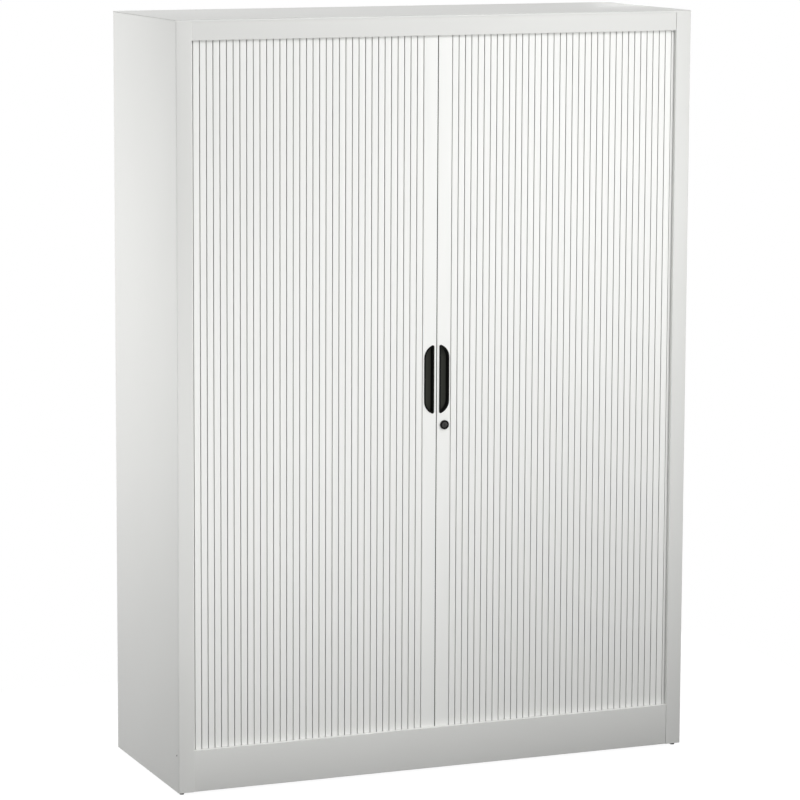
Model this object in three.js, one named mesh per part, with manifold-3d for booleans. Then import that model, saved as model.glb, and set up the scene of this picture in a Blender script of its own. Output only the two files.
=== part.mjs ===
// A tambour door cabinet: a folded sheet steel body on levelling feet, closed by two curtains of
// upright slats that slide apart, round the front corners and into pockets behind the side panels.
// Millimetres, +Z up. The front faces -Y, the feet stand on z = 0, and x = 0 is the meeting line.

import * as THREE from 'three';
import { mergeVertices } from 'three/addons/utils/BufferGeometryUtils.js';
import Module from 'manifold-3d';

const wasm = await Module();
wasm.setup();

// Overall size
const WIDTH = 1200;
const DEPTH = 420;
const HEIGHT = 1660;
const FOOT_SHOWS = 6;

// Sheet metal and the gaps between pieces
const SHEET = 1;
const SEAM = 0.3;
const BEND_RADIUS = 3;
const BEND_STEPS = 3;
const OVERRUN = 5;

// Front frame: stiles, fascia and plinth
const STILE_WIDTH = 35.5;
const STILE_RETURN = 9.1;
const FASCIA_HEIGHT = 44;
const PLINTH_HEIGHT = 90;
const RAIL_SETBACK = 1.5;
const PLINTH_FOOT_FLANGE = 20;

// Top panel and back
const CAP_THICKNESS = 1.2;
const CAP_LIP = 4;
const REAR_LIP = 20;
const REAR_FLANGE = 20;

// Curtain of slats
const CURTAIN_RECESS = 11.5;
const SLAT_PITCH = 15;
const SLAT_THICKNESS = 7.6;
const GROOVE_WIDTH = 1.6;
const GROOVE_DEPTH = 5;
const SLAT_CROWN = 0.8;
const SLAT_SHOULDER = 3;
const BACK_NOTCH = 1.2;
const BACK_NOTCH_WIDTH = 1.6;
const STRIPS_PER_CURTAIN = 6;
const CURTAIN_TAIL = 61;
const OPEN_DOOR_SHOWS = 14.5;

// Meeting slats and their glides
const MEETING_SLAT_WIDTH = 33.5;
const MEETING_GAP = 2;
const MEETING_SLAT_DEPTH = 16;
const MEETING_SLAT_WALL = 1.8;
const MEETING_SLAT_END_WALL = 2;
const MEETING_SLAT_STANDS_PROUD = 0.5;
const GLIDE_THICKNESS = 8.4;
const GLIDE_INSET = 3;

// Tracks that the curtains run in
const TRACK_WALL = 1.1;
const TRACK_SLOT = 9.2;
const TRACK_HEIGHT = 12;
const TRACK_RECESS = 0.7;
const TRACK_CORNER_RADIUS = 27;
const TRACK_CORNER_STEPS = 6;
const TRACK_SIDE_INSET = 13;
const TRACK_END_SPARE = 8;
const RUNNING_GAP = 0.4;
const LIFT_GAP = 1;

// Liners, floor and shelves
const POCKET_DEPTH = 28;
const LINER_FRONT_SETBACK = 32;
const REAR_POCKET_DEPTH = 32;
const FLOOR_RISE = 11.9;
const FLOOR_FRONT_SETBACK = 28;
const SHELF_COUNT = 3;
const SHELF_HEIGHT = 22;
const SHELF_SIDE_GAP = 2.5;
const SHELF_FRONT_SETBACK = 38;
const SHELF_REAR_GAP = 1;

// Slots in the side liners, and the clips that hook into them
const SLOTS_PER_COMPARTMENT = 8;
const SLOT_HEIGHT = 8;
const SLOT_WIDTH = 14;
const SLOT_COLUMN_INSET = 60;
const SLOT_END_MARGIN = 18;
const CLIP_THICKNESS = 1.6;
const CLIP_WIDTH = 13;
const CLIP_REACH = 14;
const CLIP_DROP = 14;
const CLIP_HOOK_REACH = 3;
const CLIP_HOOK_DROP = 5;

// Handle cups, one in each meeting slat
const CUP_WIDTH = 23.6;
const CUP_HEIGHT = 151;
const CUP_CENTRE_HEIGHT = 870;
const CUP_FROM_CENTRE = 6;
const CUP_CORNER_RADIUS = 3;
const CUP_SWEEP_RADIUS = 30;
const CUP_RIM_WIDTH = 2;
const CUP_RIM_THICKNESS = 1;
const CUP_WALL = 1.4;
const CUP_DEPTH = 12.8;
const CUP_CORNER_STEPS = 3;
const CUP_SWEEP_STEPS = 5;

// Lock in the right meeting slat, its cam, and the catch on the left one
const LOCK_FROM_CENTRE = 18.2;
const LOCK_BELOW_CUP = 15.5;
const LOCK_ROSETTE_RADIUS = 10;
const LOCK_ROSETTE_THICKNESS = 3;
const LOCK_BARREL_RADIUS = 8;
const LOCK_BARREL_GAP = 0.6;
const LOCK_NUT_RADIUS = 11;
const LOCK_NUT_THICKNESS = 2;
const LOCK_NUT_SIDES = 6;
const LOCK_PLUG_RADIUS = 6.1;
const LOCK_PLUG_GAP = 0.45;
const LOCK_SIDES = 24;
const KEYWAY_WIDTH = 1.6;
const KEYWAY_HEIGHT = 7;
const KEYWAY_DEPTH = 8;
const TENON_SIDE = 6.4;
const CAM_THICKNESS = 2;
const CAM_GAP = 0.5;
const CAM_HUB_RADIUS = 7;
const CAM_HALF_WIDTH = 6;
const CAM_TIP = 5;
const CAM_SLOT_STEPS = 5;
const CAM_SLOT_ANGLE = 24;
const CATCH_PIN_RADIUS = 2.5;
const CATCH_PIN_GAP = 1.2;
const CATCH_PIN_SIDES = 16;
const CATCH_PIN_FROM_CENTRE = 8;
const CATCH_PLATE_THICKNESS = 1.5;
const CATCH_PLATE_INNER = 3;
const CATCH_PLATE_OUTER = 30;
const CATCH_PLATE_HEIGHT = 40;
const CATCH_PIN_OVERRUN = 1.2;

// Base rails and levelling feet
const RAIL_LEG = 27;
const RAIL_THICKNESS = 1.5;
const RAIL_FLOOR_GAP = 8;
const FOOT_FROM_SIDE = 12;
const FOOT_FROM_FRONT = 16;
const FOOT_PAD_RADIUS = 6.5;
const FOOT_PAD_HEIGHT = 5;
const FOOT_CHAMFER = 1;
const FOOT_NECK_RADIUS = 5;
const FOOT_STUD_RADIUS = 4;
const FOOT_STUD_HEIGHT = 46;
const FOOT_HOLE_GAP = 0.5;
const FOOT_SIDES = 20;

const LEFT = -1;
const RIGHT = 1;
const SIDES = [['left', LEFT], ['right', RIGHT]];
const WELD = 1e-4;

// Planes that several pieces share
const half = WIDTH / 2;
const front = -DEPTH / 2;
const back = DEPTH / 2;
const bodyBottom = FOOT_SHOWS;
const capUnderside = HEIGHT - CAP_THICKNESS;
const innerSide = half - SHEET - SEAM;
const stileInner = half - STILE_WIDTH;
const returnEnd = front + STILE_RETURN;
const carrierFront = returnEnd + SEAM;
const railFace = front + RAIL_SETBACK;
const railEnd = stileInner - SEAM;
const openingBottom = bodyBottom + PLINTH_HEIGHT;
const openingTop = HEIGHT - FASCIA_HEIGHT;
const flangeInner = back - SHEET;
const backPanelRear = flangeInner - SEAM;
const backPanelFront = backPanelRear - SHEET;
const carrierRear = backPanelFront - SEAM;

// Heights of the tracks and of the panels that carry them
const lowerTrackTop = openingBottom - TRACK_RECESS;
const lowerTrackBottom = lowerTrackTop - TRACK_HEIGHT;
const baseTop = lowerTrackBottom - SEAM;
const upperTrackBottom = openingTop + TRACK_RECESS;
const upperTrackTop = upperTrackBottom + TRACK_HEIGHT;
const innerTopUnderside = upperTrackTop + SEAM;
const slatBottom = lowerTrackBottom + TRACK_WALL + SEAM;
const slatTop = upperTrackTop - TRACK_WALL - LIFT_GAP;
const meetingSlatBottom = lowerTrackTop + RUNNING_GAP;
const meetingSlatTop = upperTrackBottom - RUNNING_GAP;

// The line that the slats' middles follow, seen from above
const trackY = front + CURTAIN_RECESS + SLAT_THICKNESS / 2;
const trackX = half - TRACK_SIDE_INSET;
const cornerX = trackX - TRACK_CORNER_RADIUS;
const cornerY = trackY + TRACK_CORNER_RADIUS;
const cornerRun = TRACK_CORNER_RADIUS * Math.PI / 2;
const sideRun = -2 * cornerY;

// A closed curtain reaches round the corner by its tail, to the nearest whole slat in each strip
const slatRun = cornerX + cornerRun + CURTAIN_TAIL - MEETING_SLAT_WIDTH;
const slatsPerStrip = Math.round(slatRun / SLAT_PITCH / STRIPS_PER_CURTAIN);
const curtainLength = STRIPS_PER_CURTAIN * slatsPerStrip * SLAT_PITCH;
const doorTravel = stileInner - MEETING_SLAT_WIDTH - OPEN_DOOR_SHOWS;
const pathLength = MEETING_SLAT_WIDTH + curtainLength + doorTravel + TRACK_END_SPARE;

// Faces of the meeting slats
const meetingFace = front + CURTAIN_RECESS - MEETING_SLAT_STANDS_PROUD;
const meetingRear = meetingFace + MEETING_SLAT_DEPTH;
const meetingInner = MEETING_GAP / 2;
const meetingOuter = MEETING_SLAT_WIDTH - GROOVE_WIDTH / 2;

// Liners and compartments
const linerX = half - POCKET_DEPTH;
const linerInner = linerX - SHEET;
const linerFront = front + LINER_FRONT_SETBACK;
const rearLinerRear = back - REAR_POCKET_DEPTH;
const rearLinerFront = rearLinerRear - SHEET;
const linerBottom = baseTop + SEAM;
const linerTop = innerTopUnderside - SEAM;
const floorTop = baseTop + FLOOR_RISE;
const compartment = (innerTopUnderside - floorTop) / (SHELF_COUNT + 1);
const shelfFront = front + SHELF_FRONT_SETBACK;
const shelfRear = rearLinerFront - SHELF_REAR_GAP;
const shelfSide = linerInner - SHELF_SIDE_GAP;
const slotPitch = compartment / SLOTS_PER_COMPARTMENT;
const slotColumns = [shelfFront + SLOT_COLUMN_INSET, shelfRear - SLOT_COLUMN_INSET];
const clipHookHeight = -CLIP_THICKNESS - CLIP_DROP / 2;

// Lock and catch
const lockHeight = CUP_CENTRE_HEIGHT - CUP_HEIGHT / 2 - LOCK_BELOW_CUP - LOCK_ROSETTE_RADIUS;
const rosetteRear = meetingFace - SEAM;
const nutFront = meetingRear + SEAM;
const nutRear = nutFront + LOCK_NUT_THICKNESS;
const camFront = nutRear + CAM_GAP;
const camRear = camFront + CAM_THICKNESS;
const pinDistance = LOCK_FROM_CENTRE + CATCH_PIN_FROM_CENTRE;
const plugBoreRadius = LOCK_PLUG_RADIUS + LOCK_PLUG_GAP;

// Base rails and feet
const railTop = baseTop - SHEET - SEAM;
const railBottom = bodyBottom + RAIL_FLOOR_GAP;
const footX = half - FOOT_FROM_SIDE;
const footY = back - FOOT_FROM_FRONT;

const paint = (color, roughness, metalness) => new THREE.MeshStandardMaterial({
  color, roughness, metalness,
});
const bodyPaint = paint(0xdcdcda, 0.5, 0.1);
const slatPlastic = paint(0xe9e9e7, 0.45, 0);
const blackPlastic = paint(0x1c1c1b, 0.4, 0);
const trackPlastic = paint(0xd2d3d2, 0.55, 0);
const zincSteel = paint(0xb4b7ba, 0.35, 0.9);
const lockMetal = paint(0x3a3a3a, 0.35, 0.8);

const cabinet = new THREE.Group();

function piece(name, geometry, material, x = 0, y = 0, z = 0) {
  const mesh = new THREE.Mesh(geometry, material);
  mesh.name = name;
  mesh.position.set(x, y, z);
  cabinet.add(mesh);
  return mesh;
}

// Solids from outlines

// The outside runs anticlockwise, so that a mirrored outline keeps its holes open
function loop(points) {
  const corners = points.map(([a, b]) => new THREE.Vector2(a, b));
  return THREE.ShapeUtils.isClockWise(corners) ? corners.reverse() : corners;
}

function shapeOf(points, holes = []) {
  const shape = new THREE.Shape(loop(points));
  for (const hole of holes) {
    shape.holes.push(new THREE.Path(loop(hole)));
  }
  return shape;
}

function extrude(points, depth, holes) {
  return new THREE.ExtrudeGeometry(shapeOf(points, holes), { depth, bevelEnabled: false, steps: 1 });
}

// An outline in x and y, raised from z0 to z1
function upright(points, z0, z1, holes) {
  return extrude(points, z1 - z0, holes).translate(0, 0, z0);
}

// An outline in y and z, drawn along x from x0 to x1
function crosswise(points, x0, x1, holes) {
  const turn = new THREE.Matrix4().makeBasis(
    new THREE.Vector3(0, 1, 0), new THREE.Vector3(0, 0, 1), new THREE.Vector3(1, 0, 0));
  return extrude(points, x1 - x0, holes).applyMatrix4(turn).translate(x0, 0, 0);
}

// An outline in x and z, drawn along y from y0 to y1
function lengthwise(points, y0, y1, holes) {
  return extrude(points, y1 - y0, holes).rotateX(Math.PI / 2).translate(0, y1, 0);
}

function rectangle(a0, b0, a1, b1) {
  return [[a0, b0], [a1, b0], [a1, b1], [a0, b1]];
}

function block(x0, x1, y0, y1, z0, z1) {
  return new THREE.BoxGeometry(x1 - x0, y1 - y0, z1 - z0)
    .translate((x0 + x1) / 2, (y0 + y1) / 2, (z0 + z1) / 2);
}

function arc(cx, cy, radius, from, to, steps) {
  const points = [];
  for (let i = 0; i <= steps; i++) {
    const angle = THREE.MathUtils.degToRad(from + (to - from) * i / steps);
    points.push([cx + radius * Math.cos(angle), cy + radius * Math.sin(angle)]);
  }
  return points;
}

function ring(cx, cy, radius, sides) {
  return arc(cx, cy, radius, 0, 360, sides).slice(0, sides);
}

function turned(profile, sides) {
  const points = profile.map(([r, h]) => new THREE.Vector2(r, h));
  return new THREE.LatheGeometry(points, sides).rotateX(Math.PI / 2);
}

// Joining and cutting

function solidOf(geometry) {
  const bare = geometry.clone();
  bare.deleteAttribute('normal');
  bare.deleteAttribute('uv');
  const merged = mergeVertices(bare, WELD);
  return new wasm.Manifold(new wasm.Mesh({
    numProp: 3,
    vertProperties: Float32Array.from(merged.attributes.position.array),
    triVerts: Uint32Array.from(merged.index.array),
  }));
}

function geometryOf(solid) {
  const mesh = solid.getMesh();
  const geometry = new THREE.BufferGeometry();
  geometry.setAttribute('position', new THREE.BufferAttribute(Float32Array.from(mesh.vertProperties), 3));
  geometry.setIndex(new THREE.BufferAttribute(Uint32Array.from(mesh.triVerts), 1));
  return geometry;
}

function join(...parts) {
  return geometryOf(parts.map(solidOf).reduce((whole, part) => whole.add(part)));
}

function cut(body, ...tools) {
  return geometryOf(tools.map(solidOf).reduce((rest, tool) => rest.subtract(tool), solidOf(body)));
}

// A sheet pan: a flat plate with a flange on all four sides, open below, or above if it is turned up
function pan(x, y0, y1, z0, z1, opensUp) {
  const floor = opensUp ? z0 + SHEET : z0 - OVERRUN;
  const roof = opensUp ? z1 + OVERRUN : z1 - SHEET;
  const outside = block(-x, x, y0, y1, z0, z1);
  return cut(outside, block(-x + SHEET, x - SHEET, y0 + SHEET, y1 - SHEET, floor, roof));
}

// Carcass

function sidePanel(side) {
  const inner = BEND_RADIUS - SHEET;
  const bendX = half - BEND_RADIUS;
  const bendY = front + BEND_RADIUS;
  const outline = [
    [stileInner, returnEnd],
    [stileInner, front],
    ...arc(bendX, bendY, BEND_RADIUS, -90, 0, BEND_STEPS),
    [half, back],
    [half - REAR_FLANGE, back],
    [half - REAR_FLANGE, flangeInner],
    [half - SHEET, flangeInner],
    ...arc(bendX, bendY, inner, 0, -90, BEND_STEPS),
    [stileInner + SHEET, front + SHEET],
    [stileInner + SHEET, returnEnd],
  ].map(([x, y]) => [side * x, y]);
  const sheet = upright(outline, bodyBottom, capUnderside - SEAM);
  // the top panel's front lip comes down over the stile
  const lipRear = railFace + SHEET + SEAM;
  const x0 = Math.min(side * (stileInner - OVERRUN), side * (half + OVERRUN));
  const x1 = Math.max(side * (stileInner - OVERRUN), side * (half + OVERRUN));
  const lipRoom = block(x0, x1, front - OVERRUN, lipRear, HEIGHT - CAP_LIP - SEAM, HEIGHT);
  return cut(sheet, lipRoom);
}

function topPanel() {
  const lipRear = railFace + SHEET;
  const cap = crosswise([
    [lipRear, HEIGHT - CAP_LIP],
    [lipRear, capUnderside],
    [back, capUnderside],
    [back, HEIGHT],
    ...arc(front + BEND_RADIUS, HEIGHT - BEND_RADIUS, BEND_RADIUS, 90, 180, BEND_STEPS),
    [front, HEIGHT - CAP_LIP],
  ], -half, half);
  const fascia = crosswise([
    [railFace, openingTop],
    [returnEnd, openingTop],
    [returnEnd, openingTop + SHEET],
    [lipRear, openingTop + SHEET],
    [lipRear, capUnderside + CAP_THICKNESS / 2],
    [railFace, capUnderside + CAP_THICKNESS / 2],
  ], -railEnd, railEnd);
  const lipEnd = half - REAR_FLANGE - SEAM;
  const rearLip = block(-lipEnd, lipEnd, flangeInner, back, HEIGHT - REAR_LIP, HEIGHT - CAP_THICKNESS / 2);
  return join(cap, fascia, rearLip);
}

function plinthFront() {
  const rear = railFace + SHEET;
  return crosswise([
    [railFace, bodyBottom],
    [railFace + PLINTH_FOOT_FLANGE, bodyBottom],
    [railFace + PLINTH_FOOT_FLANGE, bodyBottom + SHEET],
    [rear, bodyBottom + SHEET],
    [rear, openingBottom - SHEET],
    [returnEnd, openingBottom - SHEET],
    [returnEnd, openingBottom],
    [railFace, openingBottom],
  ], -railEnd, railEnd);
}

for (const [name, side] of SIDES) {
  piece(`side_panel_${name}`, sidePanel(side), bodyPaint);
}
piece('top_panel', topPanel(), bodyPaint);
piece('plinth_front', plinthFront(), bodyPaint);
piece('back_panel', block(-innerSide, innerSide, backPanelFront, backPanelRear,
  bodyBottom + SHEET, capUnderside - SEAM), bodyPaint);
piece('base_panel', block(-innerSide, innerSide, carrierFront, carrierRear, baseTop - SHEET, baseTop),
  bodyPaint);
piece('inner_top_panel', pan(innerSide, carrierFront, carrierRear, innerTopUnderside,
  capUnderside - SEAM, true), bodyPaint);

// Base rails: a channel behind each side panel, open inwards, with a hole for each foot
function baseRail(side) {
  const legEnd = innerSide - RAIL_LEG;
  const channel = lengthwise([
    [legEnd, railBottom],
    [innerSide, railBottom],
    [innerSide, railTop],
    [legEnd, railTop],
    [legEnd, railTop - RAIL_THICKNESS],
    [innerSide - RAIL_THICKNESS, railTop - RAIL_THICKNESS],
    [innerSide - RAIL_THICKNESS, railBottom + RAIL_THICKNESS],
    [legEnd, railBottom + RAIL_THICKNESS],
  ].map(([x, z]) => [side * x, z]), carrierFront, carrierRear);
  const holes = [-footY, footY].map((y) => upright(
    ring(side * footX, y, FOOT_STUD_RADIUS + FOOT_HOLE_GAP, FOOT_SIDES),
    railBottom - OVERRUN, railBottom + OVERRUN));
  return cut(channel, ...holes);
}

function foot() {
  const shoulder = railBottom - SEAM;
  return turned([
    [0, 0],
    [FOOT_PAD_RADIUS - FOOT_CHAMFER, 0],
    [FOOT_PAD_RADIUS, FOOT_CHAMFER],
    [FOOT_PAD_RADIUS, FOOT_PAD_HEIGHT],
    [FOOT_NECK_RADIUS, FOOT_PAD_HEIGHT + FOOT_CHAMFER],
    [FOOT_NECK_RADIUS, shoulder],
    [FOOT_STUD_RADIUS, shoulder],
    [FOOT_STUD_RADIUS, FOOT_STUD_HEIGHT - FOOT_CHAMFER],
    [FOOT_STUD_RADIUS - FOOT_CHAMFER, FOOT_STUD_HEIGHT],
    [0, FOOT_STUD_HEIGHT],
  ], FOOT_SIDES);
}

for (const [name, side] of SIDES) {
  piece(`base_rail_${name}`, baseRail(side), zincSteel);
  piece(`foot_front_${name}`, foot(), blackPlastic, side * footX, -footY);
  piece(`foot_rear_${name}`, foot(), blackPlastic, side * footX, footY);
}

// Tracks and curtains follow one line. alongTrack gives the point that lies a distance from the
// meeting line along it, and an offset outwards from it.

function alongTrack(side, distance, outwards) {
  const radius = TRACK_CORNER_RADIUS + outwards;
  let rest = distance;
  if (rest <= cornerX) {
    return [side * rest, trackY - outwards];
  }
  rest -= cornerX;
  if (rest <= cornerRun) {
    const angle = rest / TRACK_CORNER_RADIUS;
    return [side * (cornerX + radius * Math.sin(angle)), cornerY - radius * Math.cos(angle)];
  }
  rest -= cornerRun;
  if (rest <= sideRun) {
    return [side * (trackX + outwards), cornerY + rest];
  }
  rest -= sideRun;
  if (rest <= cornerRun) {
    const angle = rest / TRACK_CORNER_RADIUS;
    return [side * (cornerX + radius * Math.cos(angle)), -cornerY + radius * Math.sin(angle)];
  }
  return [side * (cornerX - (rest - cornerRun)), -trackY + outwards];
}

// The band between two offsets from the line, from one distance along it to another
function trackBand(side, from, to, inside, outside) {
  const stops = [from];
  for (const start of [cornerX, cornerX + cornerRun + sideRun]) {
    for (let i = 0; i <= TRACK_CORNER_STEPS; i++) {
      stops.push(start + cornerRun * i / TRACK_CORNER_STEPS);
    }
  }
  stops.push(to);
  return [
    ...stops.map((stop) => alongTrack(side, stop, outside)),
    ...stops.reverse().map((stop) => alongTrack(side, stop, inside)),
  ];
}

function track(side, upper) {
  const z0 = upper ? upperTrackBottom : lowerTrackBottom;
  const z1 = upper ? upperTrackTop : lowerTrackTop;
  const slotHalf = TRACK_SLOT / 2;
  const outer = slotHalf + TRACK_WALL;
  const body = upright(trackBand(side, SEAM, pathLength, -outer, outer), z0, z1);
  const slotFrom = upper ? z0 - OVERRUN : z0 + TRACK_WALL;
  const slotTo = upper ? z1 - TRACK_WALL : z1 + OVERRUN;
  // the slot runs out of both ends
  const slotBand = trackBand(side, -OVERRUN, pathLength + OVERRUN, -slotHalf, slotHalf);
  const slot = upright(slotBand, slotFrom, slotTo);
  return cut(body, slot);
}

// A strip of slats hinged to each other by thin webs, as an outline along the track's line
function curtainStrip(side, index) {
  const start = MEETING_SLAT_WIDTH + index * slatsPerStrip * SLAT_PITCH;
  const face = SLAT_THICKNESS / 2;
  const web = face - GROOVE_DEPTH;
  const outer = [];
  const inner = [];
  for (let i = 0; i < slatsPerStrip; i++) {
    const from = start + i * SLAT_PITCH;
    const to = from + SLAT_PITCH;
    const first = i === 0;
    const last = i === slatsPerStrip - 1;
    outer.push(
      ...(first ? [[from + SEAM / 2, web]] : []),
      [from + GROOVE_WIDTH / 2, web],
      [from + GROOVE_WIDTH / 2, face - SLAT_CROWN],
      [from + SLAT_SHOULDER, face],
      [to - SLAT_SHOULDER, face],
      [to - GROOVE_WIDTH / 2, face - SLAT_CROWN],
      [to - GROOVE_WIDTH / 2, web],
      ...(last ? [[to - SEAM / 2, web]] : []),
    );
    inner.push(
      [first ? from + SEAM / 2 : from, -face + BACK_NOTCH],
      [from + BACK_NOTCH_WIDTH, -face],
      [to - BACK_NOTCH_WIDTH, -face],
      ...(last ? [[to - SEAM / 2, -face + BACK_NOTCH]] : []),
    );
  }
  const outline = [...outer, ...inner.reverse()].map(([along, out]) => alongTrack(side, along, out));
  return upright(outline, slatBottom, slatTop);
}

for (const [name, side] of SIDES) {
  piece(`lower_track_${name}`, track(side, false), trackPlastic);
  piece(`upper_track_${name}`, track(side, true), trackPlastic);
  for (let index = 0; index < STRIPS_PER_CURTAIN; index++) {
    piece(`curtain_${name}_${index + 1}`, curtainStrip(side, index), slatPlastic);
  }
}

// Handle cup: a D with its flat side at u = 0, each corner of the sweep rounded

function cupOutline(inset) {
  const corner = Math.max(CUP_CORNER_RADIUS - inset, CUP_CORNER_RADIUS / 4);
  const sweep = CUP_SWEEP_RADIUS - inset;
  const sweepU = CUP_WIDTH - CUP_SWEEP_RADIUS;
  const fullAcross = CUP_CORNER_RADIUS - sweepU;
  const fullUp = Math.sqrt((CUP_SWEEP_RADIUS - CUP_CORNER_RADIUS) ** 2 - fullAcross ** 2);
  const sweepV = CUP_HEIGHT / 2 - CUP_CORNER_RADIUS - fullUp;
  const across = inset + corner - sweepU;
  const up = Math.sqrt((sweep - corner) ** 2 - across ** 2);
  const meet = THREE.MathUtils.radToDeg(Math.atan2(up, across));
  const top = [
    ...arc(inset + corner, sweepV + up, corner, 180, meet, CUP_CORNER_STEPS),
    ...arc(sweepU, sweepV, sweep, meet, 0, CUP_SWEEP_STEPS).slice(1),
  ];
  return [...top, ...top.map(([u, v]) => [u, -v]).reverse()];
}

function cupShape(side, inset) {
  return cupOutline(inset).map(([u, v]) => [side * u, v]);
}

// The cup's own y = 0 is the meeting slat's face
function handleCup(side) {
  const bowl = lengthwise(cupShape(side, CUP_RIM_WIDTH), -SEAM, CUP_DEPTH);
  const rim = lengthwise(cupShape(side, 0), -SEAM - CUP_RIM_THICKNESS, -SEAM);
  const hollow = lengthwise(cupShape(side, CUP_RIM_WIDTH + CUP_WALL),
    -SEAM - CUP_RIM_THICKNESS - OVERRUN, CUP_DEPTH - CUP_WALL);
  return cut(join(bowl, rim), hollow);
}

function meetingSlat(side) {
  const shell = rectangle(meetingInner, meetingFace, meetingOuter, meetingRear);
  const hollow = rectangle(meetingInner + MEETING_SLAT_WALL, meetingFace + MEETING_SLAT_WALL,
    meetingOuter - MEETING_SLAT_WALL, meetingRear - MEETING_SLAT_WALL);
  const across = ([x, y]) => [side * x, y];
  const bar = upright(shell.map(across), meetingSlatBottom, meetingSlatTop);
  const core = upright(hollow.map(across), meetingSlatBottom + MEETING_SLAT_END_WALL,
    meetingSlatTop - MEETING_SLAT_END_WALL);
  const window = lengthwise(cupShape(side, CUP_RIM_WIDTH - RUNNING_GAP), meetingFace - OVERRUN,
    meetingFace + MEETING_SLAT_DEPTH / 2)
    .translate(side * CUP_FROM_CENTRE, 0, CUP_CENTRE_HEIGHT);
  if (side === LEFT) {
    return cut(bar, core, window);
  }
  const lockHole = lengthwise(ring(LOCK_FROM_CENTRE, lockHeight, LOCK_BARREL_RADIUS + LOCK_BARREL_GAP,
    LOCK_SIDES), meetingFace - OVERRUN, meetingRear + OVERRUN);
  return cut(bar, core, window, lockHole);
}

function glide(side, z0, z1) {
  const x0 = Math.min(side * (meetingInner + GLIDE_INSET), side * (meetingOuter - GLIDE_INSET));
  const x1 = Math.max(side * (meetingInner + GLIDE_INSET), side * (meetingOuter - GLIDE_INSET));
  return block(x0, x1, trackY - GLIDE_THICKNESS / 2, trackY + GLIDE_THICKNESS / 2, z0, z1);
}

for (const [name, side] of SIDES) {
  piece(`meeting_slat_${name}`, meetingSlat(side), slatPlastic);
  piece(`handle_cup_${name}`, handleCup(side), blackPlastic,
    side * CUP_FROM_CENTRE, meetingFace, CUP_CENTRE_HEIGHT);
  piece(`lower_glide_${name}`, glide(side, slatBottom, meetingSlatBottom - SEAM), trackPlastic);
  piece(`upper_glide_${name}`, glide(side, meetingSlatTop + SEAM, slatTop), trackPlastic);
}

// Lock, drawn about its own axis and placed at its height in the right meeting slat

function lockHousing() {
  const rosette = lengthwise(ring(0, 0, LOCK_ROSETTE_RADIUS, LOCK_SIDES),
    rosetteRear - LOCK_ROSETTE_THICKNESS, rosetteRear);
  const barrel = lengthwise(ring(0, 0, LOCK_BARREL_RADIUS, LOCK_SIDES),
    rosetteRear - LOCK_ROSETTE_THICKNESS / 2, nutRear);
  const nut = lengthwise(ring(0, 0, LOCK_NUT_RADIUS, LOCK_NUT_SIDES), nutFront, nutRear);
  const bore = lengthwise(ring(0, 0, plugBoreRadius, LOCK_SIDES),
    rosetteRear - LOCK_ROSETTE_THICKNESS - OVERRUN, nutRear + OVERRUN);
  return cut(join(rosette, barrel, nut), bore);
}

function lockPlug() {
  const plugFront = rosetteRear - LOCK_ROSETTE_THICKNESS + SEAM;
  const body = lengthwise(ring(0, 0, LOCK_PLUG_RADIUS, LOCK_SIDES), plugFront, nutRear);
  const tenonHalf = TENON_SIDE / 2;
  const tenon = block(-tenonHalf, tenonHalf, nutRear - SEAM, camRear + SEAM, -tenonHalf, tenonHalf);
  const keyway = block(-KEYWAY_WIDTH / 2, KEYWAY_WIDTH / 2, plugFront - OVERRUN, plugFront + KEYWAY_DEPTH,
    -KEYWAY_HEIGHT / 2, KEYWAY_HEIGHT / 2);
  return cut(join(body, tenon), keyway);
}

// The cam hangs down when the doors are free. Turned towards -X, the slot in its leading edge
// closes round the catch pin, so that the doors can't part.
function lockCam() {
  const reach = pinDistance + CATCH_PIN_RADIUS + CATCH_PIN_GAP + CAM_TIP;
  const arm = [
    [-CAM_HALF_WIDTH, 0],
    [-CAM_HALF_WIDTH, -reach],
    [CAM_HALF_WIDTH, -reach],
    [CAM_HALF_WIDTH, 0],
  ];
  const hub = ring(0, 0, CAM_HUB_RADIUS, LOCK_SIDES);
  const slotHalf = CATCH_PIN_RADIUS + CATCH_PIN_GAP;
  const down = -90;
  const pinClearance = THREE.MathUtils.radToDeg(slotHalf / pinDistance);
  const slot = [
    ...arc(0, 0, pinDistance + slotHalf, down + pinClearance, down - CAM_SLOT_ANGLE, CAM_SLOT_STEPS),
    ...arc(0, 0, pinDistance - slotHalf, down - CAM_SLOT_ANGLE, down + pinClearance, CAM_SLOT_STEPS),
  ];
  const holeHalf = TENON_SIDE / 2 + SEAM;
  const plate = join(lengthwise(arm, camFront, camRear), lengthwise(hub, camFront, camRear));
  return cut(plate,
    lengthwise(slot, camFront - OVERRUN, camRear + OVERRUN),
    block(-holeHalf, holeHalf, camFront - OVERRUN, camRear + OVERRUN, -holeHalf, holeHalf));
}

function lockCatch() {
  const plateRear = nutFront + CATCH_PLATE_THICKNESS;
  const plate = block(-CATCH_PLATE_OUTER, -CATCH_PLATE_INNER, nutFront, plateRear,
    -CATCH_PLATE_HEIGHT / 2, CATCH_PLATE_HEIGHT / 2);
  const pin = lengthwise(ring(-CATCH_PIN_FROM_CENTRE, 0, CATCH_PIN_RADIUS, CATCH_PIN_SIDES),
    nutFront + CATCH_PLATE_THICKNESS / 2, camRear + CATCH_PIN_OVERRUN);
  return join(plate, pin);
}

piece('lock_housing', lockHousing(), blackPlastic, LOCK_FROM_CENTRE, 0, lockHeight);
piece('lock_plug', lockPlug(), lockMetal, LOCK_FROM_CENTRE, 0, lockHeight);
piece('lock_cam', lockCam(), zincSteel, LOCK_FROM_CENTRE, 0, lockHeight);
piece('lock_catch', lockCatch(), zincSteel, 0, 0, lockHeight);

// Liners, floor and shelves

function shelfTop(number) {
  return floorTop + number * compartment;
}

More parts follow.
